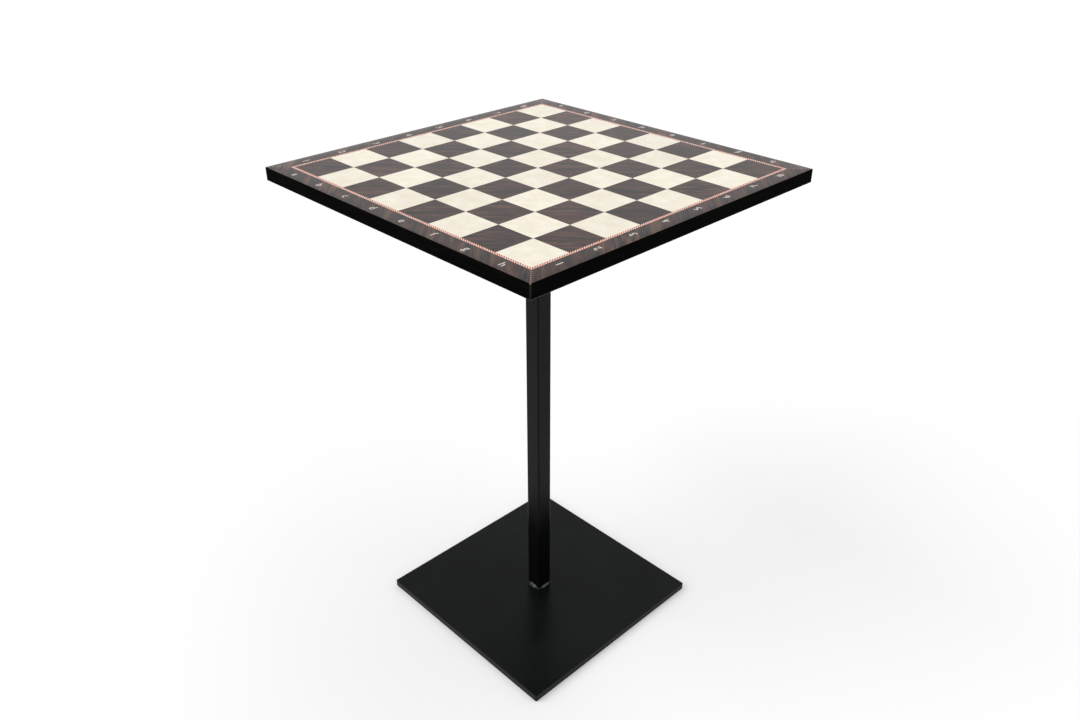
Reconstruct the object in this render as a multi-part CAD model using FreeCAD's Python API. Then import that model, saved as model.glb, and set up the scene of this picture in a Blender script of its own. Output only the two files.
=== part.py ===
import FreeCAD, Part

# Chess table: a veneered and inlaid chessboard, screwed to a square steel post that is welded to
# the middle of a square steel base plate.
#
# Lengths are in millimetres. +Z is up and the origin is at floor level under the post. X runs
# across the files, from a to h, and Y runs along the ranks, from 1 to 8, so the front of the
# board is White's side, at -Y.

import os

from FreeCAD import Vector

# ---- Driving dimensions ------------------------------------------------------------------

# Board
SQUARES = 8                      # squares along each side of the field
SQUARE = 50.0                    # pitch of the squares
BORDER_WIDTH = 22.8              # edge of the field to edge of the board
ROPE_WIDTH = 3.0                 # rope banding, centred on the edge of the field
ROPE_DEPTH = 1.0                 # let in through the veneer and a little into the core
MITRE_LINE_WIDTH = 1.2           # dotted line along each corner mitre
VENEER_THICKNESS = 0.6           # face veneer and backing veneer
CORE_THICKNESS = 14.8
LIPPING_WIDTH = 6.0              # solid lipping round the core
BOARD_CORNER_RADIUS = 1.2
BOARD_ARRIS_RADIUS = 0.8

# Post
POST_SIDE = 23.0
POST_WALL = 1.5
POST_CORNER_RADIUS = 1.8
POST_LENGTH = 610.0

# Base plate and its pads
BASE_SIDE = 300.0
BASE_THICKNESS = 10.0
BASE_CORNER_RADIUS = 2.0
BASE_ARRIS_RADIUS = 0.8
PAD_DIAMETER = 22.0
PAD_THICKNESS = 1.0
PAD_INSET = 20.0                 # edge of the plate to the centre of a pad

# Head plate under the board
HEAD_PLATE_SIDE = 120.0
HEAD_PLATE_THICKNESS = 4.0
HEAD_PLATE_CORNER_RADIUS = 8.0

# Welds between the post and the two plates
WELD_LEG = 3.2
WELD_TOE = 0.3                   # thickness left where the bead runs out on the post

# Screws that hold the board
SCREW_SPACING = 92.0             # hole to hole, along X and along Y
SCREW_DIAMETER = 4.0
SCREW_REACH = 10.0               # from the head plate up into the board
SCREW_POINT = 3.0                # length of the tapered point
SCREW_HEAD_DIAMETER = 8.0
SCREW_HEAD_HEIGHT = 2.6
SCREW_CLEARANCE = 0.25           # all round, in the head plate's holes
PILOT_CLEARANCE = 0.02           # all round, in the board

# ---- Levels and half-widths that follow ---------------------------------------------------

FIELD_HALF = SQUARES * SQUARE / 2
BOARD_HALF = FIELD_HALF + BORDER_WIDTH
ROPE_INNER = FIELD_HALF - ROPE_WIDTH / 2
ROPE_OUTER = FIELD_HALF + ROPE_WIDTH / 2
CORE_HALF = BOARD_HALF - LIPPING_WIDTH

BASE_BOTTOM = PAD_THICKNESS
BASE_TOP = BASE_BOTTOM + BASE_THICKNESS
POST_TOP = BASE_TOP + POST_LENGTH
BOARD_BOTTOM = POST_TOP + HEAD_PLATE_THICKNESS
CORE_BOTTOM = BOARD_BOTTOM + VENEER_THICKNESS
CORE_TOP = CORE_BOTTOM + CORE_THICKNESS
BOARD_TOP = CORE_TOP + VENEER_THICKNESS

# Quarter turns about Z that take a front piece, or a front left one, round the board
SIDES = {"front": 0, "right": 90, "back": 180, "left": 270}
CORNERS = {"front_left": 0, "front_right": 90, "back_right": 180, "back_left": 270}

UP = Vector(0, 0, 1)
TINY = 1e-6


# ---- Helpers ------------------------------------------------------------------------------

def block(x0, x1, y0, y1, z0, z1):
    """Box between two opposite corners."""
    return Part.makeBox(x1 - x0, y1 - y0, z1 - z0, Vector(x0, y0, z0))


def slab(corners, z0, z1):
    """Flat polygon with the given (x, y) corners, thick from z0 to z1."""
    loop = [Vector(x, y, z0) for x, y in corners]
    return Part.Face(Part.makePolygon(loop + loop[:1])).extrude(UP * (z1 - z0))


def upright_edges(solid):
    """Edges that run along Z."""
    return [edge for edge in solid.Edges if edge.BoundBox.ZLength > TINY
            and edge.BoundBox.XLength + edge.BoundBox.YLength < TINY]


def rounded_prism(side, radius, z0, z1):
    """Upright square block about Z, with rounded corners."""
    half = side / 2
    solid = block(-half, half, -half, half, z0, z1)
    return solid.makeFillet(radius, upright_edges(solid))


def outline(side, radius, z):
    """Closed wire of a rounded square at height z."""
    prism = rounded_prism(side, radius, z, z + 1)
    return min(prism.Faces, key=lambda face: face.CenterOfMass.z).OuterWire


def round_arrises(solid, radius):
    """Round the edges where the flat top and bottom meet the sides."""
    level = [edge for edge in solid.Edges if edge.BoundBox.ZLength < TINY]
    return solid.makeFillet(radius, level)


def turned(solid, degrees):
    """Copy of a solid, turned about Z."""
    return solid.rotated(Vector(0, 0, 0), UP, degrees)


def four_corners(spacing):
    """Corners of a square about Z, with the given distance between neighbours."""
    half = spacing / 2
    return [Vector(x, y, 0) for x in (-half, half) for y in (-half, half)]


# ---- Steel stand --------------------------------------------------------------------------

def make_base_plate():
    plate = rounded_prism(BASE_SIDE, BASE_CORNER_RADIUS, BASE_BOTTOM, BASE_TOP)
    return round_arrises(plate, BASE_ARRIS_RADIUS)


def make_foot_pads():
    pad = Part.makeCylinder(PAD_DIAMETER / 2, PAD_THICKNESS, Vector(0, 0, 0), UP)
    centres = four_corners(BASE_SIDE - 2 * PAD_INSET)
    return [pad.translated(centre) for centre in centres]


def make_post():
    """Square tube, cut square at both ends."""
    outside = rounded_prism(POST_SIDE, POST_CORNER_RADIUS, BASE_TOP, POST_TOP)
    inner_radius = max(POST_CORNER_RADIUS - POST_WALL, 0.1)
    inside = rounded_prism(POST_SIDE - 2 * POST_WALL, inner_radius, BASE_TOP, POST_TOP)
    return outside.cut(inside)


def make_weld(plate_level, direction):
    """Fillet weld round the post, slightly domed, on a plate that lies at plate_level.

    direction is 1 where the bead climbs from the plate and -1 where it hangs below it.
    """
    sections = []
    for width, rise in ((WELD_LEG, 0), (WELD_LEG * 0.6, WELD_LEG * 0.55), (WELD_TOE, WELD_LEG)):
        level = plate_level + direction * rise
        sections.append(outline(POST_SIDE + 2 * width, POST_CORNER_RADIUS + width, level))
    bead = Part.makeLoft(sections, True, True)
    box = bead.BoundBox
    return bead.cut(rounded_prism(POST_SIDE, POST_CORNER_RADIUS, box.ZMin, box.ZMax))


def make_head_plate():
    plate = rounded_prism(HEAD_PLATE_SIDE, HEAD_PLATE_CORNER_RADIUS, POST_TOP, BOARD_BOTTOM)
    radius = SCREW_DIAMETER / 2 + SCREW_CLEARANCE
    for centre in four_corners(SCREW_SPACING):
        foot = centre + UP * POST_TOP
        plate = plate.cut(Part.makeCylinder(radius, HEAD_PLATE_THICKNESS, foot, UP))
    return plate


def make_screw(clearance=0.0):
    """Pan-head wood screw about Z, its head seated under the head plate.

    With a clearance it is the pilot hole that the screw needs in the board.
    """
    shank = SCREW_DIAMETER / 2 + clearance
    tip = BOARD_BOTTOM + SCREW_REACH + clearance
    head = SCREW_HEAD_DIAMETER / 2
    crown = POST_TOP - SCREW_HEAD_HEIGHT
    profile = [(0, tip), (shank, tip - SCREW_POINT), (shank, POST_TOP), (head, POST_TOP),
               (head, POST_TOP - SCREW_HEAD_HEIGHT * 0.4), (head * 0.6, crown), (0, crown)]
    loop = [Vector(radius, 0, level) for radius, level in profile]
    return Part.Face(Part.makePolygon(loop + loop[:1])).revolve(Vector(0, 0, 0), UP, 360)


def make_board_screws(clearance=0.0):
    screw = make_screw(clearance)
    return [screw.translated(centre) for centre in four_corners(SCREW_SPACING)]


# ---- Board --------------------------------------------------------------------------------

def board_envelope():
    """Outer form of the whole board, with its corners and arrises rounded."""
    body = rounded_prism(2 * BOARD_HALF, BOARD_CORNER_RADIUS, BOARD_BOTTOM, BOARD_TOP)
    return round_arrises(body, BOARD_ARRIS_RADIUS)


def make_rope_line():
    """Front length of the rope banding, mitred at both ends."""
    corners = [(-ROPE_OUTER, -ROPE_OUTER), (ROPE_OUTER, -ROPE_OUTER),
               (ROPE_INNER, -ROPE_INNER), (-ROPE_INNER, -ROPE_INNER)]
    return slab(corners, BOARD_TOP - ROPE_DEPTH, BOARD_TOP)


def make_core_panel(rope_lines, pilots):
    core = block(-CORE_HALF, CORE_HALF, -CORE_HALF, CORE_HALF, CORE_BOTTOM, CORE_TOP)
    return core.cut(rope_lines + pilots)


def make_edge_lipping(envelope):
    """Front lipping, mitred at both ends."""
    corners = [(-BOARD_HALF, -BOARD_HALF), (BOARD_HALF, -BOARD_HALF),
               (CORE_HALF, -CORE_HALF), (-CORE_HALF, -CORE_HALF)]
    return slab(corners, CORE_BOTTOM, CORE_TOP).common(envelope)


def make_backing_veneer(envelope, pilots):
    sheet = block(-BOARD_HALF, BOARD_HALF, -BOARD_HALF, BOARD_HALF, BOARD_BOTTOM, CORE_BOTTOM)
    return sheet.common(envelope).cut(pilots)


def make_border_veneer(envelope):
    """Front border, mitred at both ends with room for the mitre lines."""
    inset = MITRE_LINE_WIDTH / 2 ** 0.5
    corners = [(-BOARD_HALF + inset, -BOARD_HALF), (BOARD_HALF - inset, -BOARD_HALF),
               (ROPE_OUTER - inset, -ROPE_OUTER), (-ROPE_OUTER + inset, -ROPE_OUTER)]
    return slab(corners, CORE_TOP, BOARD_TOP).common(envelope)


def make_mitre_line(envelope):
    """Front left mitre line, from the corner of the rope line to the corner of the board."""
    inset = MITRE_LINE_WIDTH / 2 ** 0.5
    corners = [(-BOARD_HALF, -BOARD_HALF), (-BOARD_HALF + inset, -BOARD_HALF),
               (-ROPE_OUTER + inset, -ROPE_OUTER), (-ROPE_OUTER, -ROPE_OUTER),
               (-ROPE_OUTER, -ROPE_OUTER + inset), (-BOARD_HALF, -BOARD_HALF + inset)]
    return slab(corners, CORE_TOP, BOARD_TOP).common(envelope)


def make_square(file, rank):
    """One veneer square, counted from a1. The rope line trims the outer ring of squares."""
    def span(count):
        start = max(-FIELD_HALF + count * SQUARE, -ROPE_INNER)
        end = min(-FIELD_HALF + (count + 1) * SQUARE, ROPE_INNER)
        return start, end

    return block(*span(file), *span(rank), CORE_TOP, BOARD_TOP)


def make_rank(rank, light):
    """The light or the dark squares of one rank. The square a1 is dark."""
    return [make_square(file, rank) for file in range(SQUARES) if (file + rank) % 2 == int(light)]


# ---- Assembly -----------------------------------------------------------------------------

def build_stand():
    return {
        "base_plate": [make_base_plate()],
        "foot_pads": make_foot_pads(),
        "post": [make_post()],
        "foot_weld": [make_weld(BASE_TOP, 1)],
        "head_plate": [make_head_plate()],
        "head_weld": [make_weld(POST_TOP, -1)],
        "board_screws": make_board_screws(),
    }


def build_board():
    envelope = board_envelope()
    pilots = make_board_screws(PILOT_CLEARANCE)
    rope_lines = {name: turned(make_rope_line(), turn) for name, turn in SIDES.items()}
    nodes = {
        "core_panel": [make_core_panel(list(rope_lines.values()), pilots)],
        "backing_veneer": [make_backing_veneer(envelope, pilots)],
    }
    for name, turn in SIDES.items():
        nodes["edge_lipping_" + name] = [turned(make_edge_lipping(envelope), turn)]
        nodes["border_veneer_" + name] = [turned(make_border_veneer(envelope), turn)]
        nodes["rope_line_" + name] = [rope_lines[name]]
    for name, turn in CORNERS.items():
        nodes["mitre_line_" + name] = [turned(make_mitre_line(envelope), turn)]
    for rank in range(SQUARES):
        nodes[f"light_squares_rank_{rank + 1}"] = make_rank(rank, light=True)
        nodes[f"dark_squares_rank_{rank + 1}"] = make_rank(rank, light=False)
    return nodes


def main():
    os.makedirs("parts", exist_ok=True)
    for name, solids in {**build_stand(), **build_board()}.items():
        shape = solids[0] if len(solids) == 1 else Part.makeCompound(solids)
        shape.exportStep(f"parts/{name}.step")
        print(name, len(shape.Solids), round(shape.Volume, 2), shape.isValid())


main()
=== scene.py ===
# Looks of the chess table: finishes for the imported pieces, and finer pieces for the weld beads,
# the screws and the border with its inlaid letters and numerals.
#
# Lengths are in metres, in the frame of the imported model: +Z up, +X from file a to file h, +Y from
# rank 1 to rank 8.

import math

import bmesh
import bpy
from mathutils import Matrix, Vector, noise


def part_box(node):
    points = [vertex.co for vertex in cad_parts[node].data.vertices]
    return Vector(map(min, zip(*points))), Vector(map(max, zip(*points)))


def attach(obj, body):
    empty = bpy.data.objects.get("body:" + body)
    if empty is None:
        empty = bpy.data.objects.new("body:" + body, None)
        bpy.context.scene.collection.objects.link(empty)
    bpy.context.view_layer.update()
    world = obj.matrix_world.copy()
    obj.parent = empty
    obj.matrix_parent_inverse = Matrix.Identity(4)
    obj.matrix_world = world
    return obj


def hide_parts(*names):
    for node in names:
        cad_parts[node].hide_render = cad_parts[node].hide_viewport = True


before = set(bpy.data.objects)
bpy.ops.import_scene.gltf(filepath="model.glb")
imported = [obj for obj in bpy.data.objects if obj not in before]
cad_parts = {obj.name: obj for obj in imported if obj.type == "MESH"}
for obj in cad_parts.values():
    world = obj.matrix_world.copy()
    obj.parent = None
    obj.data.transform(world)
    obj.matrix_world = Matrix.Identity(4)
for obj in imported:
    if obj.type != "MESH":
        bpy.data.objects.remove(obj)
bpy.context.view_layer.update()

MM = 0.001

# ---- Sizes --------------------------------------------------------------------------------

SQUARES = 8
SQUARE = 50 * MM
FIELD_HALF = SQUARES * SQUARE / 2

VENEER_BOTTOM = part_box("light_squares_rank_1")[0].z
BOARD_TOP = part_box("light_squares_rank_1")[1].z
BOARD_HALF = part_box("backing_veneer")[1].x
ROPE_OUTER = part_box("rope_line_right")[1].x
ROPE_HALF = ROPE_OUTER - FIELD_HALF
MITRE_LINE_WIDTH = 1.2 * MM
MITRE_INSET = MITRE_LINE_WIDTH / math.sqrt(2)
ARRIS_RADIUS = 0.8 * MM
ARRIS_STEPS = 5
UPRIGHT = 0.05                   # rise of a face's normal, below which the face is upright
LEVEL = 0.95                     # and above which it is level
BORDER_CREASE = 30               # degrees; edges of the border that are sharper stay crisp

DASHES_PER_SQUARE = 16           # dark strokes of the rope line along one square
ROPE_LAP = 0.4 * MM              # of the rope pattern over the squares inside it
ROPE_EDGE = 0.05                 # softness of that lap's edge, in half widths of the rope line
ROPE_FRAY = 0.10                 # wander of the strokes' edges, in strokes
MITRE_DOT_PITCH = 4.4 * MM

FIELD_GRAIN = 45                 # degrees from +X that the grain of the squares runs
BORDER_GRAIN = 135
BACKING_GRAIN = 0
VENEER_SPREAD = 3.0              # metres of veneer that the squares are cut from
PAINTED_HIGHLIGHT_START = 1.8 * MM             # from an upright corner of the board, where the painted highlight on its lacquer starts
PAINTED_HIGHLIGHT_FULL = 0.6 * MM              # and where that painted highlight is brightest

PALER_COAT = 2.2                 # times as bright as the powder coat's black, in its pale clouds

LETTER_HEIGHT = 8.9 * MM         # of a capital or a numeral
LETTER_WEIGHT = 0.13 * MM        # added all round the plain strokes; more makes the g cross itself
LETTER_STEPS = 3                 # in each curve of an outline; so does more of these
LETTER_MERGE = 0.0005 * MM       # distance at which points of a letter become one
INLAY_DEPTH = 0.3 * MM
LETTER_BASELINE = 15.7 * MM      # from the edge of the field out to the letters' baseline
NUMERAL_CENTRE = 9.6 * MM        # from the edge of the field out to the numerals' middle
NUMERAL_DROP = 1.0 * MM          # of the numerals' middle below that of their squares

POST_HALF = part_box("post")[1].x
POST_CORNER_RADIUS = 1.8 * MM
BASE_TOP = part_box("foot_weld")[0].z
POST_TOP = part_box("head_weld")[1].z

WELD_LEG = 2.9 * MM              # mean width on the plate and height on the post
WELD_RUNS = {"front": 1.35, "right": 0.85, "back": 1.00, "left": 1.10}    # share of that leg
WELD_LEG_SPREAD = 0.25 * MM
WELD_LUMPS = 0.10                # spread of the crown's swelling, as a share of the bead
WELD_CROWN = 1.45                # 1 is a quarter round, 2 is a flat fillet
WELD_CORNER_SHARE = 0.15         # of the bead's size, left at the corners of the post
WELD_THIN_START = 0.4            # share of the way from mid side to corner where the bead starts to thin
WELD_THIN_RUN = 0.45             # share of that way in which it thins
WELD_RIPPLE_PITCH = 4.2 * MM
WELD_RIPPLE_HEIGHT = 0.55 * MM
WELD_RIPPLE_BOW = 0.9            # pitches that the middle of a ripple is ahead of its ends
WELD_RIPPLE_POWER = 1.5          # 1 is an even rise to each crest
WELD_RIPPLE_MEAN = 1 / (WELD_RIPPLE_POWER + 1)    # height of the ripples on average
WELD_NOISE_RING = 2.2            # radius of the ring in the noise that a trip round the post follows
WELD_NOISE_RATES = {"width": 1.3, "height": 1.7, "lumps": 4}    # times that ring
WELD_NOISE_SHIFT = Vector((9, 0, 0))    # parts the height's noise from the width's
WELD_STEP = 0.22 * MM            # between sections along the bead
WELD_SECTION_STEPS = 12
WELD_CREASE = 60                 # degrees

THREAD_PITCH = 1.8 * MM
THREAD_START = 4 * MM            # plain shank between head and thread
THREAD_HALF_WIDTH = 0.22         # of the ridge, in pitches
THREAD_RINGS = 14                # per pitch
SCREW_CORE_RADIUS = 1.45 * MM
SCREW_CREST_RADIUS = 1.98 * MM
SCREW_POINT = 3 * MM
SCREW_HEAD_RADIUS = 4 * MM
SCREW_HEAD_SHARES = (0.35, 0.55, 0.72, 0.86, 0.95, 1.0)    # of that radius, at the rings of the crown
SCREW_DOME = 0.45                # share of the head's height that its crown takes
SCREW_DOME_POWER = 3.2           # 2 is a round crown, more is flatter in the middle
SCREW_SIDES = 28
SCREW_ANGLES = [2 * math.pi * side / SCREW_SIDES for side in range(SCREW_SIDES)]
SCREW_CREASE = 35                # degrees
RECESS_LENGTH = 4.4 * MM
RECESS_WIDTH = 0.95 * MM
RECESS_DEPTH = 1.6 * MM
RECESS_LENGTH_LEFT = 0.45        # share of the length left at the bottom of the recess
RECESS_WIDTH_LEFT = 0.6          # share of the width
RECESS_OVERSHOOT = 0.5 * MM      # of its cutter past the crown
RECESS_TURN = 0.3                # radians from +X

IMAGE_WIDTH = 1080
SENSOR_WIDTH = 36.0              # millimetres, as the camera's lens is
FOCAL_LENGTH_PIXELS = 946.3
CAMERA_POSITION = Vector((0.7613, -0.7293, 0.9858))
CAMERA_AZIMUTH = math.radians(46.124)
CAMERA_ELEVATION = math.radians(29.589)
CAMERA_ROLL = math.radians(-0.159)

FLOOR_SIDE = 60.0
FLOOR_ALBEDO = 0.75
FLOOR_GLOW = 0.20                # seen by the camera and in reflections, which makes the floor white

WORLD_LIGHT = 0.50               # brightness of the surroundings as a source of light
LAMP_SPREAD = math.radians(50)
LAMPS = {
    # name: (direction that the light comes from, watts per square metre)
    "key_light": ((-0.5, -0.9, 1.0), 1.55),
    "fill_light": ((1.0, 0.1, 0.9), 0.40),
    "top_light": ((0.0, 0.3, 1.0), 0.65),
}

# Quarter turns about Z that take a front piece round the board
SIDES = {"front": 0, "right": 1, "back": 2, "left": 3}
# Signs of X and Y at the corners of a rectangle, in order
CORNERS = ((-1, -1), (1, -1), (1, 1), (-1, 1))


# ---- Node graphs --------------------------------------------------------------------------

class Graph:
    """Adds shader nodes to one node tree and links them."""

    def __init__(self, tree):
        self.tree = tree
        tree.nodes.clear()

    def feed(self, socket, value):
        """Link a socket to another node's output, or set it to a constant."""
        if isinstance(value, bpy.types.NodeSocket):
            self.tree.links.new(value, socket)
        else:
            socket.default_value = value

    def add(self, kind, inputs=(), **settings):
        """New node with its settings made and its inputs fed."""
        node = self.tree.nodes.new(kind)
        for name, value in settings.items():
            setattr(node, name, value)
        for key, value in dict(inputs).items():
            self.feed(node.inputs[key], value)
        return node

    def math(self, operation, *values):
        node = self.add("ShaderNodeMath", dict(enumerate(values)), operation=operation)
        return node.outputs[0]

    def vector(self, operation, *values):
        node = self.add("ShaderNodeVectorMath", dict(enumerate(values)), operation=operation)
        return node.outputs[0]

    def scale(self, vector, amount):
        node = self.add("ShaderNodeVectorMath", {0: vector, "Scale": amount}, operation="SCALE")
        return node.outputs[0]

    def position(self):
        return self.add("ShaderNodeTexCoord").outputs["Object"]

    def plan(self, position):
        """X and Y of a position."""
        parts = self.add("ShaderNodeSeparateXYZ", {"Vector": position}).outputs
        return parts["X"], parts["Y"]

    def along_grain(self, position, degrees, stretch):
        """Position turned so that X runs along the grain, and shrunk that way."""
        turn = (0, 0, -math.radians(degrees))
        turned = self.add("ShaderNodeMapping", {"Vector": position, "Rotation": turn})
        return self.vector("MULTIPLY", turned.outputs[0], (1 / stretch, 1, 1))

    def noise(self, position, size, detail=2.0, roughness=0.5, distortion=0.0):
        """Fractal noise from 0 to 1 whose largest features measure about size."""
        node = self.add("ShaderNodeTexNoise", {
            "Vector": position, "Scale": 1 / size, "Detail": detail,
            "Roughness": roughness, "Distortion": distortion})
        return node.outputs["Fac"]

    def random(self, position):
        """A random number and a random colour for each whole position."""
        return self.add("ShaderNodeTexWhiteNoise", {"Vector": position}).outputs

    def step(self, value, start, end, low=0.0, high=1.0):
        """Smooth change from low to high while a value goes from start to end."""
        node = self.add("ShaderNodeMapRange", {
            "Value": value, "From Min": start, "From Max": end, "To Min": low, "To Max": high},
            interpolation_type="SMOOTHSTEP")
        return node.outputs[0]

    def stripes(self, run, start, end):
        """Stripes half way between whole numbers, with edges from start to end off a whole number."""
        return self.step(self.math("PINGPONG", run, 0.5), start, end)

    def mix(self, share, first, second):
        """Blend of two colours."""
        node = self.add("ShaderNodeMix", data_type="RGBA")
        colours = [socket for socket in node.inputs if socket.type == "RGBA"]
        self.feed(node.inputs[0], share)
        self.feed(colours[0], first)
        self.feed(colours[1], second)
        return [socket for socket in node.outputs if socket.type == "RGBA"][0]

    def bump(self, height, depth):
        """Normals of a surface on which a height of 1 stands depth above a height of 0."""
        return self.add("ShaderNodeBump", {"Height": height, "Distance": depth}).outputs[0]

    def finish(self, inputs):
        """End the material with a surface that has these inputs."""
        shader = self.add("ShaderNodeBsdfPrincipled", inputs)
        self.add("ShaderNodeOutputMaterial", {"Surface": shader.outputs[0]})


def rgb(red, green, blue):
    return (red, green, blue, 1.0)


def new_graph(name):
    material = bpy.data.materials.new(name)
    material.use_nodes = True
    return material, Graph(material.node_tree)


# ---- Finishes of the stand ----------------------------------------------------------------

def make_powder_coat(name, black, gloss, smooth, rough):
    """Satin powder coat, black with a paler cloud, and with a fine orange peel."""
    material, g = new_graph(name)
    position = g.position()
    cloud = g.noise(position, 80 * MM, detail=4)
    peel = g.noise(position, 1.4 * MM, detail=1)
    grit = g.noise(position, 0.4 * MM, detail=2)
    tone = g.math("MULTIPLY_ADD", grit, 0.4, cloud)
    relief = g.math("MULTIPLY_ADD", grit, 0.25, peel)
    paler = [PALER_COAT * share for share in black]
    g.finish({
        "Base Color": g.mix(g.step(tone, 0.45, 0.95), rgb(*black), rgb(*paler)),
        "Roughness": g.step(cloud, 0.3, 0.7, low=smooth, high=rough),
        "Specular IOR Level": gloss,
        "Normal": g.bump(relief, 0.03 * MM),
    })
    return material


def make_weld_paint():
    """The same coat over a weld bead, where it flows out smooth and glossy."""
    material, g = new_graph("weld_paint")
    position = g.position()
    pits = g.noise(position, 0.9 * MM, detail=2)
    tone = g.noise(position, 3 * MM, detail=2)
    g.finish({
        "Base Color": g.mix(tone, rgb(0.0016, 0.0020, 0.0021), rgb(0.0045, 0.0055, 0.0058)),
        "Roughness": g.step(tone, 0.3, 0.7, low=0.10, high=0.22),
        "Specular IOR Level": 0.42,
        "Normal": g.bump(pits, 0.08 * MM),
    })
    return material


def make_pad_rubber():
    """Matte black rubber with a moulded grain and a little dust."""
    material, g = new_graph("pad_rubber")
    position = g.position()
    grain = g.noise(position, 0.5 * MM, detail=3)
    dust = g.noise(position, 4 * MM, detail=4)
    g.finish({
        "Base Color": g.mix(g.step(dust, 0.5, 0.8),
                            rgb(0.018, 0.018, 0.018), rgb(0.060, 0.057, 0.052)),
        "Roughness": g.step(dust, 0.3, 0.7, low=0.75, high=0.92),
        "Specular IOR Level": 0.3,
        "Normal": g.bump(grain, 0.04 * MM),
    })
    return material


def make_zinc():
    """Bright zinc plating with a faint mottle."""
    material, g = new_graph("zinc_plating")
    position = g.position()
    mottle = g.noise(position, 1.2 * MM, detail=3)
    g.finish({
        "Base Color": g.mix(mottle, rgb(0.50, 0.50, 0.48), rgb(0.72, 0.72, 0.70)),
        "Metallic": 1.0,
        "Roughness": g.step(mottle, 0.3, 0.7, low=0.28, high=0.45),
        "Normal": g.bump(mottle, 0.01 * MM),
    })
    return material


# ---- Finishes of the board ----------------------------------------------------------------

def lacquered(g, position, colour):
    """Put the thick gloss lacquer of the board over a colour."""
    flow = g.noise(position, 30 * MM, detail=1)
    g.finish({
        "Base Color": colour,
        "Roughness": 0.5,
        "Specular IOR Level": 0.0,
        "Coat Weight": 0.60,
        "Coat Roughness": 0.04,
        "Coat IOR": 1.5,
        "Coat Normal": g.bump(flow, 0.04 * MM),
    })


def streaks(g, position, degrees, width, stretch, distortion=0.6):
    """Figure of sliced veneer: bands about width wide that run along the grain."""
    return g.noise(g.along_grain(position, degrees, stretch), width, 3.0, 0.55, distortion)


def per_square(g, position):
    """A random number for the square that a point lies in, and the point moved at random.

    The move gives each square a stretch of veneer of its own.
    """
    whole = g.vector("FLOOR", g.vector("MULTIPLY", position, (1 / SQUARE, 1 / SQUARE, 0)))
    value, colour = g.random(whole)
    return value, g.vector("ADD", position, g.scale(colour, VENEER_SPREAD))


def walnut(g, position, degrees, deep, brown, streak):
    """Dark walnut: soft bands, redder streaks and fine dark pores."""
    bands = streaks(g, position, degrees, width=9 * MM, stretch=6)
    lines = streaks(g, position, degrees, width=3.8 * MM, stretch=9)
    fine = streaks(g, position, degrees, width=0.9 * MM, stretch=24)
    pores = streaks(g, position, degrees, width=0.45 * MM, stretch=16)
    colour = g.mix(g.step(bands, 0.43, 0.57), deep, brown)
    colour = g.mix(g.step(lines, 0.50, 0.58, high=0.95), colour, streak)
    colour = g.mix(g.step(fine, 0.52, 0.70, high=0.45), colour, streak)
    return g.mix(g.step(pores, 0.60, 0.72, high=0.7), colour, rgb(0.004, 0.003, 0.003))


def field_distance(g, position):
    """How far out of the field a point lies, in half widths of the rope line; less than 0 inside."""
    x, y = g.plan(position)
    out = g.math("MAXIMUM", g.math("ABSOLUTE", x), g.math("ABSOLUTE", y))
    return g.math("DIVIDE", g.math("SUBTRACT", out, FIELD_HALF), ROPE_HALF)


def rope_colour(g, position, out):
    """Salmon rope parted by slanted red-brown strokes, which fade towards its outside."""
    x, y = g.plan(position)
    fray = g.noise(position, 0.5 * MM, detail=2)
    run = g.math("MULTIPLY", g.math("ADD", x, y), DASHES_PER_SQUARE / SQUARE)
    run = g.math("MULTIPLY_ADD", fray, ROPE_FRAY, run)
    stroke = g.stripes(run, 0.26, 0.31)
    stroke = g.math("MULTIPLY", stroke, g.step(out, 0.0, 0.7, low=1.0, high=0.5))
    tone = g.step(g.noise(position, 6 * MM, detail=3), 0.3, 0.7)
    salmon = g.mix(tone, rgb(0.89, 0.45, 0.35), rgb(0.99, 0.60, 0.49))
    return g.mix(stroke, salmon, rgb(0.085, 0.016, 0.011))


def lapped(g, position, colour):
    """A square's colour with the rope's lap drawn along the rim of the field."""
    out = field_distance(g, position)
    rim = -(ROPE_HALF + ROPE_LAP) / ROPE_HALF
    share = g.step(out, rim - ROPE_EDGE, rim + ROPE_EDGE)
    return g.mix(share, colour, rope_colour(g, position, out))


def make_dark_veneer():
    """Dark walnut squares, each with its own shade."""
    material, g = new_graph("dark_veneer")
    position = g.position()
    value, moved = per_square(g, position)
    colour = walnut(g, moved, FIELD_GRAIN, deep=rgb(0.0030, 0.0025, 0.0032),
                    brown=rgb(0.0320, 0.0110, 0.0090), streak=rgb(0.086, 0.036, 0.023))
    plum = streaks(g, moved, FIELD_GRAIN, width=16 * MM, stretch=3)
    colour = g.mix(g.step(plum, 0.45, 0.62, high=0.40), colour, rgb(0.0290, 0.0105, 0.0140))
    colour = g.scale(colour, g.step(value, 0, 1, low=0.75, high=1.25))
    lacquered(g, position, lapped(g, position, colour))
    return material


def make_light_veneer():
    """Pale maple squares: cream, with a faint mottle, growth lines and flecks."""
    material, g = new_graph("light_veneer")
    position = g.position()
    value, moved = per_square(g, position)
    mottle = g.noise(moved, 14 * MM, detail=4, roughness=0.6)
    lines = streaks(g, moved, FIELD_GRAIN, width=2.2 * MM, stretch=25)
    flecks = streaks(g, moved, FIELD_GRAIN, width=0.7 * MM, stretch=5)
    colour = g.mix(g.step(mottle, 0.3, 0.7), rgb(0.78, 0.715, 0.585), rgb(0.85, 0.805, 0.695))
    colour = g.mix(g.step(lines, 0.45, 0.75, high=0.30), colour, rgb(0.76, 0.66, 0.51))
    colour = g.mix(g.step(flecks, 0.62, 0.75, high=0.40), colour, rgb(0.68, 0.54, 0.40))
    colour = g.scale(colour, g.step(value, 0, 1, low=0.97, high=1.03))
    lacquered(g, position, lapped(g, position, colour))
    return material


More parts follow.
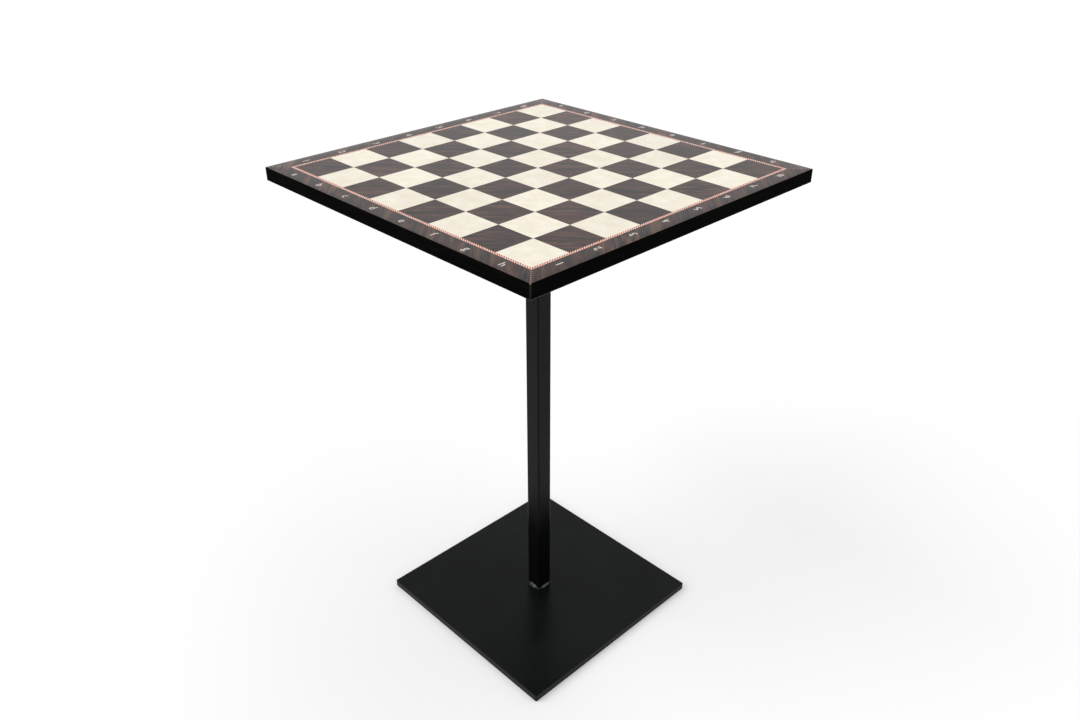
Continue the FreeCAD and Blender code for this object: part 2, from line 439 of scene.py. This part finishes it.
def make_border_veneer():
    """Dark walnut with soft brown bands, its grain aslant to every side of the board."""
    material, g = new_graph("border_veneer")
    position = g.position()
    colour = walnut(g, position, BORDER_GRAIN, deep=rgb(0.0060, 0.0056, 0.0062),
                    brown=rgb(0.0250, 0.0110, 0.0100), streak=rgb(0.050, 0.020, 0.014))
    band = streaks(g, position, BORDER_GRAIN, width=8.5 * MM, stretch=12, distortion=0.2)
    hue = g.noise(position, 30 * MM, detail=1)
    tan = g.mix(g.step(hue, 0.4, 0.6), rgb(0.105, 0.053, 0.030), rgb(0.135, 0.058, 0.038))
    colour = g.mix(g.step(band, 0.52, 0.68, high=0.75), colour, tan)
    lacquered(g, position, colour)
    return material


def make_rope_banding():
    """The rope line's own strip."""
    material, g = new_graph("rope_banding")
    position = g.position()
    lacquered(g, position, rope_colour(g, position, field_distance(g, position)))
    return material


def make_mitre_banding():
    """Dark strip with a row of small pale dots."""
    material, g = new_graph("mitre_banding")
    position = g.position()
    x, y = g.plan(position)
    run = g.math("ADD", g.math("ABSOLUTE", x), g.math("ABSOLUTE", y))
    run = g.math("DIVIDE", run, MITRE_DOT_PITCH * math.sqrt(2))
    dot = g.stripes(run, 0.28, 0.34)
    tone = g.noise(position, 5 * MM, detail=3)
    pale = g.mix(tone, rgb(0.30, 0.17, 0.12), rgb(0.46, 0.29, 0.22))
    lacquered(g, position, g.mix(dot, rgb(0.024, 0.012, 0.010), pale))
    return material


def make_coordinate_inlay():
    """Pale pinkish veneer of the letters and numerals."""
    material, g = new_graph("coordinate_inlay")
    position = g.position()
    tone = g.noise(position, 3 * MM, detail=3)
    lacquered(g, position, g.mix(tone, rgb(0.51, 0.44, 0.40), rgb(0.66, 0.59, 0.54)))
    return material


def make_edge_lacquer():
    """Black gloss lacquer on the edges, with a trace of the brown wood, and a pale grey painted highlight
    down the upright corners.
    """
    material, g = new_graph("edge_lacquer")
    position = g.position()
    peel = g.noise(position, 2.5 * MM, detail=2)
    tone = g.noise(g.vector("MULTIPLY", position, (0.3, 0.3, 3)), 9 * MM, detail=4)
    x, y = g.plan(position)
    nearer = g.math("MINIMUM", g.math("ABSOLUTE", x), g.math("ABSOLUTE", y))
    # Painted highlight: the lacquer is made pale grey down each upright corner of the board
    corner_highlight = g.step(g.math("SUBTRACT", nearer, BOARD_HALF), -PAINTED_HIGHLIGHT_START, -PAINTED_HIGHLIGHT_FULL, high=0.8)
    corner_highlight = g.math("MULTIPLY", corner_highlight, g.step(peel, 0.2, 0.6, low=0.7))
    black = g.mix(g.step(tone, 0.4, 0.75), rgb(0.0006, 0.0006, 0.0006), rgb(0.0022, 0.0018, 0.0014))
    g.finish({
        "Base Color": g.mix(corner_highlight, black, rgb(0.022, 0.022, 0.022)),
        "Roughness": g.step(peel, 0.3, 0.7, low=0.4, high=0.6),
        "Specular IOR Level": 0.0,
        "Coat Weight": 0.030,
        "Coat Roughness": 0.07,
        "Coat IOR": 1.5,
        "Coat Normal": g.bump(peel, 0.02 * MM),
    })
    return material


def make_backing_veneer():
    """Dark walnut under the board, with a thin satin lacquer."""
    material, g = new_graph("backing_veneer")
    position = g.position()
    colour = walnut(g, position, BACKING_GRAIN, deep=rgb(0.012, 0.0072, 0.0060),
                    brown=rgb(0.028, 0.015, 0.011), streak=rgb(0.070, 0.032, 0.021))
    grain = streaks(g, position, BACKING_GRAIN, width=0.8 * MM, stretch=20)
    g.finish({
        "Base Color": colour,
        "Roughness": g.step(grain, 0.3, 0.7, low=0.35, high=0.50),
        "Specular IOR Level": 0.3,
        "Normal": g.bump(grain, 0.02 * MM),
    })
    return material


def make_core_board():
    """Fine brown fibreboard."""
    material, g = new_graph("core_board")
    position = g.position()
    fibres = g.noise(g.vector("MULTIPLY", position, (1, 1, 3)), 0.8 * MM, detail=5)
    g.finish({
        "Base Color": g.mix(fibres, rgb(0.33, 0.22, 0.13), rgb(0.55, 0.41, 0.27)),
        "Roughness": g.step(fibres, 0.3, 0.7, low=0.8, high=0.95),
        "Specular IOR Level": 0.2,
        "Normal": g.bump(fibres, 0.05 * MM),
    })
    return material


# ---- Mesh helpers -------------------------------------------------------------------------

def add_object(name, mesh):
    piece = bpy.data.objects.new(name, mesh)
    bpy.context.scene.collection.objects.link(piece)
    return piece


def mesh_from(build):
    """Mesh made from a bmesh, with its faces turned outwards."""
    bmesh.ops.recalc_face_normals(build, faces=build.faces)
    mesh = bpy.data.meshes.new("piece")
    build.to_mesh(mesh)
    build.free()
    return mesh


def evaluated_mesh(piece):
    """Copy of a piece's mesh, with its modifiers applied."""
    bpy.context.view_layer.update()
    graph = bpy.context.evaluated_depsgraph_get()
    return bpy.data.meshes.new_from_object(piece.evaluated_get(graph))


def cut(piece, cutter):
    """Take the cutter out of a piece. Both are closed solids, and the cutter is used up."""
    modifier = piece.modifiers.new("cut", "BOOLEAN")
    modifier.operation = "DIFFERENCE"
    modifier.solver = "MANIFOLD"
    modifier.object = cutter
    before = len(piece.data.vertices)
    piece.data = evaluated_mesh(piece)
    piece.modifiers.clear()
    bpy.data.objects.remove(cutter)
    if len(piece.data.vertices) == before:
        raise RuntimeError("nothing was cut from " + piece.name)


def bridge(build, lower, upper):
    """Quads between two closed loops of as many vertices."""
    for index in range(len(lower)):
        after = (index + 1) % len(lower)
        build.faces.new((lower[index], lower[after], upper[after], upper[index]))


def shade_smooth(mesh, degrees):
    """Smooth shading, with edges sharper than an angle kept crisp."""
    mesh.shade_smooth()
    mesh.set_sharp_from_angle(angle=math.radians(degrees))


def place(piece, slot, *nodes):
    """Ride a finished piece on the table, in the stead of the nodes named."""
    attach(piece, "root")
    if nodes:
        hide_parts(*nodes)


# ---- Border and its inlays ----------------------------------------------------------------

def border_profile():
    """Cross-section of a border: points (out from the middle of the board, up), in order."""
    centre_out = BOARD_HALF - ARRIS_RADIUS
    centre_up = BOARD_TOP - ARRIS_RADIUS
    start = math.asin((VENEER_BOTTOM - centre_up) / ARRIS_RADIUS)
    points = [(ROPE_OUTER, BOARD_TOP), (ROPE_OUTER, VENEER_BOTTOM)]
    for index in range(ARRIS_STEPS + 1):
        angle = start + (math.pi / 2 - start) * index / ARRIS_STEPS
        points.append((centre_out + ARRIS_RADIUS * math.cos(angle),
                       centre_up + ARRIS_RADIUS * math.sin(angle)))
    return points


def make_border(side, veneer, lacquer):
    """One length of the border, mitred at both ends, its outer arris black."""
    build = bmesh.new()
    ends = []
    for sign in (-1, 1):
        ends.append([build.verts.new((sign * (out - MITRE_INSET), -out, up))
                     for out, up in border_profile()])
    bridge(build, *ends)
    for end in ends:
        build.faces.new(end)
    build.normal_update()
    piece = add_object("border_" + side, mesh_from(build))
    piece.data.transform(Matrix.Rotation(math.radians(90 * SIDES[side]), 4, "Z"))
    piece.data.materials.append(veneer)
    piece.data.materials.append(lacquer)
    for polygon in piece.data.polygons:
        outwards = max(abs(polygon.center.x), abs(polygon.center.y)) > BOARD_HALF - ARRIS_RADIUS
        if outwards and UPRIGHT < abs(polygon.normal.z) < LEVEL:
            polygon.material_index = 1
    return piece


def glyph_mesh(text, size, thickness):
    """Solid letter or numeral, middle of its baseline at the origin, centred on level 0.

    It is made a metre tall and then shrunk, because Blender fills small outlines badly.
    """
    curve = bpy.data.curves.new("glyph", "FONT")
    curve.body = text
    curve.align_x = "CENTER"
    curve.offset = LETTER_WEIGHT / size
    curve.extrude = 0.5    # to each side, so a metre in all
    curve.resolution_u = LETTER_STEPS
    text_object = add_object("glyph", curve)
    mesh = evaluated_mesh(text_object)
    bpy.data.objects.remove(text_object)
    mesh.transform(Matrix.Diagonal((size, size, thickness, 1)))
    build = bmesh.new()
    build.from_mesh(mesh)
    bmesh.ops.remove_doubles(build, verts=build.verts, dist=LETTER_MERGE)
    return mesh_from(build)


def font_size():
    """Size of the font at which a capital, with its added weight, has the wanted height."""
    capital = glyph_mesh("H", 1.0, 1.0)
    heights = [vertex.co.y for vertex in capital.vertices]
    return LETTER_HEIGHT / (max(heights) - min(heights))


def glyph_places(side):
    """Each character on one side of the border, with the middle of its baseline and its turn."""
    middles = [-FIELD_HALF + (count + 0.5) * SQUARE for count in range(SQUARES)]
    if side in ("front", "back"):
        sign = -1 if side == "front" else 1
        out = FIELD_HALF + LETTER_BASELINE
        turn = 0 if side == "front" else math.pi
        return [(letter, Vector((x, sign * out, 0)), turn) for letter, x in zip("abcdefgh", middles)]
    sign = -1 if side == "left" else 1
    drop = sign * (LETTER_HEIGHT / 2 + NUMERAL_DROP)
    out = FIELD_HALF + NUMERAL_CENTRE
    turn = 0 if side == "left" else math.pi
    return [(numeral, Vector((sign * out, y + drop, 0)), turn) for numeral, y in zip("12345678", middles)]


def make_glyphs(side, size, thickness, level):
    """The meshes of all characters of one side, centred on a level."""
    meshes = []
    for text, baseline, turn in glyph_places(side):
        mesh = glyph_mesh(text, size, thickness)
        lift = Matrix.Translation(baseline + Vector((0, 0, level)))
        mesh.transform(lift @ Matrix.Rotation(turn, 4, "Z"))
        meshes.append(mesh)
    return meshes


def build_borders(finishes):
    """The four borders, with pockets for their characters, and the characters let into them."""
    size = font_size()
    for side in SIDES:
        border = make_border(side, finishes["border"], finishes["edge"])
        for pocket in make_glyphs(side, size, 2 * INLAY_DEPTH, BOARD_TOP):
            cut(border, add_object("pocket", pocket))
        shade_smooth(border.data, BORDER_CREASE)
        place(border, "border_veneer", "border_veneer_" + side)
        build = bmesh.new()
        for letter in make_glyphs(side, size, INLAY_DEPTH, BOARD_TOP - INLAY_DEPTH / 2):
            build.from_mesh(letter)
        kind = "letters_" if side in ("front", "back") else "numerals_"
        inlay = add_object(kind + side, mesh_from(build))
        inlay.data.materials.append(finishes["coordinates"])
        place(inlay, "light_veneer")


# ---- Welds --------------------------------------------------------------------------------

def quarter_outline():
    """Points along the front of the post and round its corner, with their outward directions."""
    flat = POST_HALF - POST_CORNER_RADIUS
    quarter = []
    count = round(2 * flat / WELD_STEP)
    for index in range(count):
        quarter.append((Vector((-flat + 2 * flat * index / count, -POST_HALF, 0)), Vector((0, -1, 0))))
    centre = Vector((flat, -flat, 0))
    toe_length = (POST_CORNER_RADIUS + WELD_LEG) * math.pi / 2
    count = round(toe_length / WELD_STEP)
    for index in range(count):
        angle = math.pi / 2 * index / count - math.pi / 2
        outward = Vector((math.cos(angle), math.sin(angle), 0))
        quarter.append((centre + outward * POST_CORNER_RADIUS, outward))
    return quarter


def post_outline():
    """Points round the post with their outward directions and distances, and the whole distance.

    The distances are measured along the middle of the bead.
    """
    quarter = quarter_outline()
    points = []
    for turn in range(4):
        spin = Matrix.Rotation(turn * math.pi / 2, 3, "Z")
        points.extend((spin @ point, spin @ outward) for point, outward in quarter)
    middles = [point + outward * WELD_LEG / 2 for point, outward in points]
    distance = 0.0
    outline = []
    for index, (point, outward) in enumerate(points):
        outline.append((point, outward, distance))
        distance += (middles[(index + 1) % len(points)] - middles[index]).length
    return outline, distance


def weld_leg(point, outward):
    """Mean leg of the bead at a point of the post's outline: one run a side, thin at the corners."""
    run = 0.0
    for side, share in WELD_RUNS.items():
        facing = Matrix.Rotation(math.radians(90 * SIDES[side]), 3, "Z") @ Vector((0, -1, 0))
        run += share * max(0.0, outward.dot(facing)) ** 2
    aside = min(abs(point.x), abs(point.y)) / POST_HALF
    ramp = min(1.0, max(0.0, (aside - WELD_THIN_START) / WELD_THIN_RUN))
    return WELD_LEG * run * (1 - (1 - WELD_CORNER_SHARE) * ramp * ramp * (3 - 2 * ramp))


def bead_size(leg, trip, seed):
    """Width, height and swelling of the bead, from its mean leg and the angle gone round the post.

    The noise is walked in a ring, so that the bead closes on itself.
    """
    wander = Vector((math.cos(trip), math.sin(trip), seed)) * WELD_NOISE_RING
    width = leg + WELD_LEG_SPREAD * noise.noise(wander * WELD_NOISE_RATES["width"])
    shifted = wander * WELD_NOISE_RATES["height"] + WELD_NOISE_SHIFT
    height = leg + WELD_LEG_SPREAD * noise.noise(shifted)
    swell = 1 + WELD_LUMPS * noise.noise(wander * WELD_NOISE_RATES["lumps"])
    return width, height, swell


def bead_section(width, height, swell, ripples_passed):
    """Points of the bead's face, as (out from the post, away from the plate), from plate to post."""
    points = []
    for index in range(WELD_SECTION_STEPS + 1):
        share = index / WELD_SECTION_STEPS
        angle = share * math.pi / 2
        bow = WELD_RIPPLE_BOW * (1 - (2 * share - 1) ** 2)
        crest = ((ripples_passed - bow) % 1.0) ** WELD_RIPPLE_POWER - WELD_RIPPLE_MEAN
        ripple = WELD_RIPPLE_HEIGHT * crest * math.sin(math.pi * share)
        size = swell if 0 < index < WELD_SECTION_STEPS else 1.0
        points.append((width * math.cos(angle) ** WELD_CROWN * size + ripple * math.cos(angle),
                       height * math.sin(angle) ** WELD_CROWN * size + ripple * math.sin(angle)))
    return points


def make_weld_bead(name, level, up, seed):
    """Fillet weld round the post: a lumpy bead with overlapping crescent ripples."""
    outline, perimeter = post_outline()
    ripples = round(perimeter / WELD_RIPPLE_PITCH)
    build = bmesh.new()
    sections = []
    for point, outward, distance in outline:
        size = bead_size(weld_leg(point, outward), 2 * math.pi * distance / perimeter, seed)
        section = [build.verts.new(point + Vector((0, 0, level)))]
        for reach, rise in bead_section(*size, ripples * distance / perimeter):
            section.append(build.verts.new(point + outward * reach + Vector((0, 0, level + up * rise))))
        sections.append(section)
    for index, section in enumerate(sections):
        bridge(build, section, sections[(index + 1) % len(sections)])
    piece = add_object(name, mesh_from(build))
    shade_smooth(piece.data, WELD_CREASE)
    return piece


def build_welds(finishes):
    """The beads at the foot and under the head plate."""
    foot = make_weld_bead("foot_weld_bead", BASE_TOP, up=1, seed=3.1)
    head = make_weld_bead("head_weld_bead", POST_TOP, up=-1, seed=7.4)
    for bead, node in ((foot, "foot_weld"), (head, "head_weld")):
        bead.data.materials.append(finishes["weld"])
        place(bead, "stand_coating", node)


# ---- Screws -------------------------------------------------------------------------------

def thread_radius(level, angle, start, tip):
    """Radius of the screw's shank at a height and an angle, thread and point included."""
    phase = ((level - start) / THREAD_PITCH - angle / (2 * math.pi)) % 1.0
    ridge = max(0.0, 1 - abs(phase - 0.5) / THREAD_HALF_WIDTH)
    fade = min(1.0, max(0.0, (level - start) / THREAD_PITCH))
    radius = SCREW_CORE_RADIUS + (SCREW_CREST_RADIUS - SCREW_CORE_RADIUS) * ridge * fade
    return radius * min(1.0, (tip - level) / SCREW_POINT)


def ring(radii, level):
    """Points round the screw's axis at a height, with one radius for each angle."""
    return [Vector((radius * math.cos(angle), radius * math.sin(angle), level))
            for radius, angle in zip(radii, SCREW_ANGLES)]


def head_rings(crown, seat):
    """Rings of points up a pan head."""
    height = seat - crown
    rings = []
    for share in SCREW_HEAD_SHARES:
        level = crown + height * SCREW_DOME * share ** SCREW_DOME_POWER
        rings.append(ring([SCREW_HEAD_RADIUS * share] * SCREW_SIDES, level))
    rings.append(ring([SCREW_HEAD_RADIUS] * SCREW_SIDES, seat))
    return rings


def shank_rings(seat, tip):
    """Rings of points up a shank, with its thread and its point."""
    count = round((tip - seat) / (THREAD_PITCH / THREAD_RINGS))
    start = seat + THREAD_START
    rings = []
    for index in range(count):
        level = seat + (tip - seat) * index / count
        rings.append(ring([thread_radius(level, angle, start, tip) for angle in SCREW_ANGLES], level))
    return rings


def make_screw(centre, crown, seat, tip):
    """Pan-head screw that points up, with a cross recess and a rolled thread."""
    build = bmesh.new()
    loops = []
    for points in head_rings(crown, seat) + shank_rings(seat, tip):
        loops.append([build.verts.new(point) for point in points])
    for lower, upper in zip(loops, loops[1:]):
        bridge(build, lower, upper)
    build.faces.new(loops[0])
    build.faces.new(loops[-1])
    piece = add_object("screw", mesh_from(build))
    piece.data.transform(Matrix.Translation(centre))
    for turn in (RECESS_TURN, RECESS_TURN + math.pi / 2):
        cut(piece, make_recess_blade(centre, crown, turn))
    return piece


def make_recess_blade(centre, crown, turn):
    """One wing of the driver's cross, tapered into the head."""
    mouth = (RECESS_LENGTH, RECESS_WIDTH, crown - RECESS_OVERSHOOT)
    bottom = (RECESS_LENGTH * RECESS_LENGTH_LEFT, RECESS_WIDTH * RECESS_WIDTH_LEFT, crown + RECESS_DEPTH)
    build = bmesh.new()
    loops = []
    for length, width, level in (mouth, bottom):
        loops.append([build.verts.new((length / 2 * x, width / 2 * y, level)) for x, y in CORNERS])
    bridge(build, *loops)
    for loop in loops:
        build.faces.new(loop)
    blade = add_object("blade", mesh_from(build))
    blade.data.transform(Matrix.Translation(centre) @ Matrix.Rotation(turn, 4, "Z"))
    return blade


def build_screws(finishes):
    """The four screws from the head plate up into the board, as one piece."""
    low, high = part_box("board_screws")
    reach = high.x - SCREW_HEAD_RADIUS
    build = bmesh.new()
    for x in (-reach, reach):
        for y in (-reach, reach):
            screw = make_screw(Vector((x, y, 0)), low.z, POST_TOP, high.z)
            build.from_mesh(screw.data)
            bpy.data.objects.remove(screw)
    screws = add_object("pan_head_screws", mesh_from(build))
    shade_smooth(screws.data, SCREW_CREASE)
    screws.data.materials.append(finishes["zinc"])
    place(screws, "screw_zinc", "board_screws")


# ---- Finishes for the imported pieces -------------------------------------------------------

def dress_nodes(finishes):
    """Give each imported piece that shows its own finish."""
    finish_of = {
        "base_plate": "plate", "post": "post", "head_plate": "plate", "foot_pads": "rubber",
        "core_panel": "core", "backing_veneer": "backing", "edge_lipping": "edge",
        "rope_line": "rope", "mitre_line": "mitre",
        "light_squares": "light", "dark_squares": "dark",
    }
    for name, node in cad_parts.items():
        for start, key in finish_of.items():
            if name.startswith(start):
                node.data.materials.clear()
                node.data.materials.append(finishes[key])


# ---- Stage --------------------------------------------------------------------------------

def make_floor():
    """Pale floor that looks white where nothing shades it, and is open from below."""
    build = bmesh.new()
    half = FLOOR_SIDE / 2
    build.faces.new([build.verts.new((half * x, half * y, 0)) for x, y in CORNERS])
    floor = add_object("floor", mesh_from(build))
    material, g = new_graph("floor_paint")
    path = g.add("ShaderNodeLightPath").outputs
    seen = g.math("MAXIMUM", path["Is Camera Ray"], path["Is Glossy Ray"])
    seen = g.math("MAXIMUM", seen, path["Is Transmission Ray"])
    paint = g.add("ShaderNodeBsdfDiffuse", {"Color": rgb(FLOOR_ALBEDO, FLOOR_ALBEDO, FLOOR_ALBEDO)})
    glow = g.add("ShaderNodeEmission", {"Strength": g.math("MULTIPLY", seen, FLOOR_GLOW)})
    both = g.add("ShaderNodeAddShader", {0: paint.outputs[0], 1: glow.outputs[0]})
    behind = g.add("ShaderNodeNewGeometry").outputs["Backfacing"]
    clear = g.add("ShaderNodeBsdfTransparent")
    surface = g.add("ShaderNodeMixShader", {0: behind, 1: both.outputs[0], 2: clear.outputs[0]})
    g.add("ShaderNodeOutputMaterial", {"Surface": surface.outputs[0]})
    floor.data.materials.append(material)


def make_world():
    """Plain white surroundings, dimmer as a source of light than as they look."""
    world = bpy.data.worlds.new("studio")
    world.use_nodes = True
    bpy.context.scene.world = world
    g = Graph(world.node_tree)
    path = g.add("ShaderNodeLightPath").outputs
    seen = g.math("MAXIMUM", path["Is Camera Ray"], path["Is Glossy Ray"])
    seen = g.math("MAXIMUM", seen, path["Is Transmission Ray"])
    strength = g.math("MULTIPLY_ADD", seen, 1 - WORLD_LIGHT, WORLD_LIGHT)
    sky = g.add("ShaderNodeBackground", {"Color": rgb(1, 1, 1), "Strength": strength})
    g.add("ShaderNodeOutputWorld", {"Surface": sky.outputs[0]})


def make_lamps():
    """Wide soft lamps far away, so that they light the whole floor evenly."""
    for name, (source, strength) in LAMPS.items():
        light = bpy.data.lights.new(name, "SUN")
        light.angle = LAMP_SPREAD
        light.energy = strength
        lamp = bpy.data.objects.new(name, light)
        lamp.rotation_euler = (-Vector(source)).to_track_quat("-Z", "Y").to_euler()
        bpy.context.scene.collection.objects.link(lamp)


def make_camera():
    """The camera solved from the photograph, without its lens distortion."""
    camera = bpy.data.cameras.new("camera")
    camera.sensor_width = SENSOR_WIDTH
    camera.lens = FOCAL_LENGTH_PIXELS / IMAGE_WIDTH * SENSOR_WIDTH
    camera.clip_start = 10 * MM
    flat = math.cos(CAMERA_ELEVATION)
    forward = Vector((-math.sin(CAMERA_AZIMUTH) * flat, math.cos(CAMERA_AZIMUTH) * flat,
                      -math.sin(CAMERA_ELEVATION)))
    level = Vector((math.cos(CAMERA_AZIMUTH), math.sin(CAMERA_AZIMUTH), 0))
    upright = level.cross(forward)
    right = level * math.cos(CAMERA_ROLL) + upright * math.sin(CAMERA_ROLL)
    up = upright * math.cos(CAMERA_ROLL) - level * math.sin(CAMERA_ROLL)
    turn = Matrix((right, up, -forward)).transposed().to_4x4()
    viewer = bpy.data.objects.new("camera", camera)
    viewer.matrix_world = Matrix.Translation(CAMERA_POSITION) @ turn
    bpy.context.scene.collection.objects.link(viewer)
    bpy.context.scene.camera = viewer


# ---- Assembly -----------------------------------------------------------------------------

def make_finishes():
    """All the materials of the table, by the name of what they go on."""
    return {
        "plate": make_powder_coat("plate_coat", black=(0.0012, 0.0021, 0.0016),
                                  gloss=0.089, smooth=0.24, rough=0.30),
        "post": make_powder_coat("post_coat", black=(0.0008, 0.0009, 0.0009),
                                 gloss=0.092, smooth=0.27, rough=0.33),
        "weld": make_weld_paint(),
        "rubber": make_pad_rubber(),
        "zinc": make_zinc(),
        "core": make_core_board(),
        "backing": make_backing_veneer(),
        "edge": make_edge_lacquer(),
        "rope": make_rope_banding(),
        "mitre": make_mitre_banding(),
        "light": make_light_veneer(),
        "dark": make_dark_veneer(),
        "border": make_border_veneer(),
        "coordinates": make_coordinate_inlay(),
    }


def main():
    finishes = make_finishes()
    make_camera()
    make_world()
    make_lamps()
    make_floor()
    dress_nodes(finishes)
    build_borders(finishes)
    build_welds(finishes)
    build_screws(finishes)
    bpy.context.scene.view_settings.view_transform = "Standard"


main()
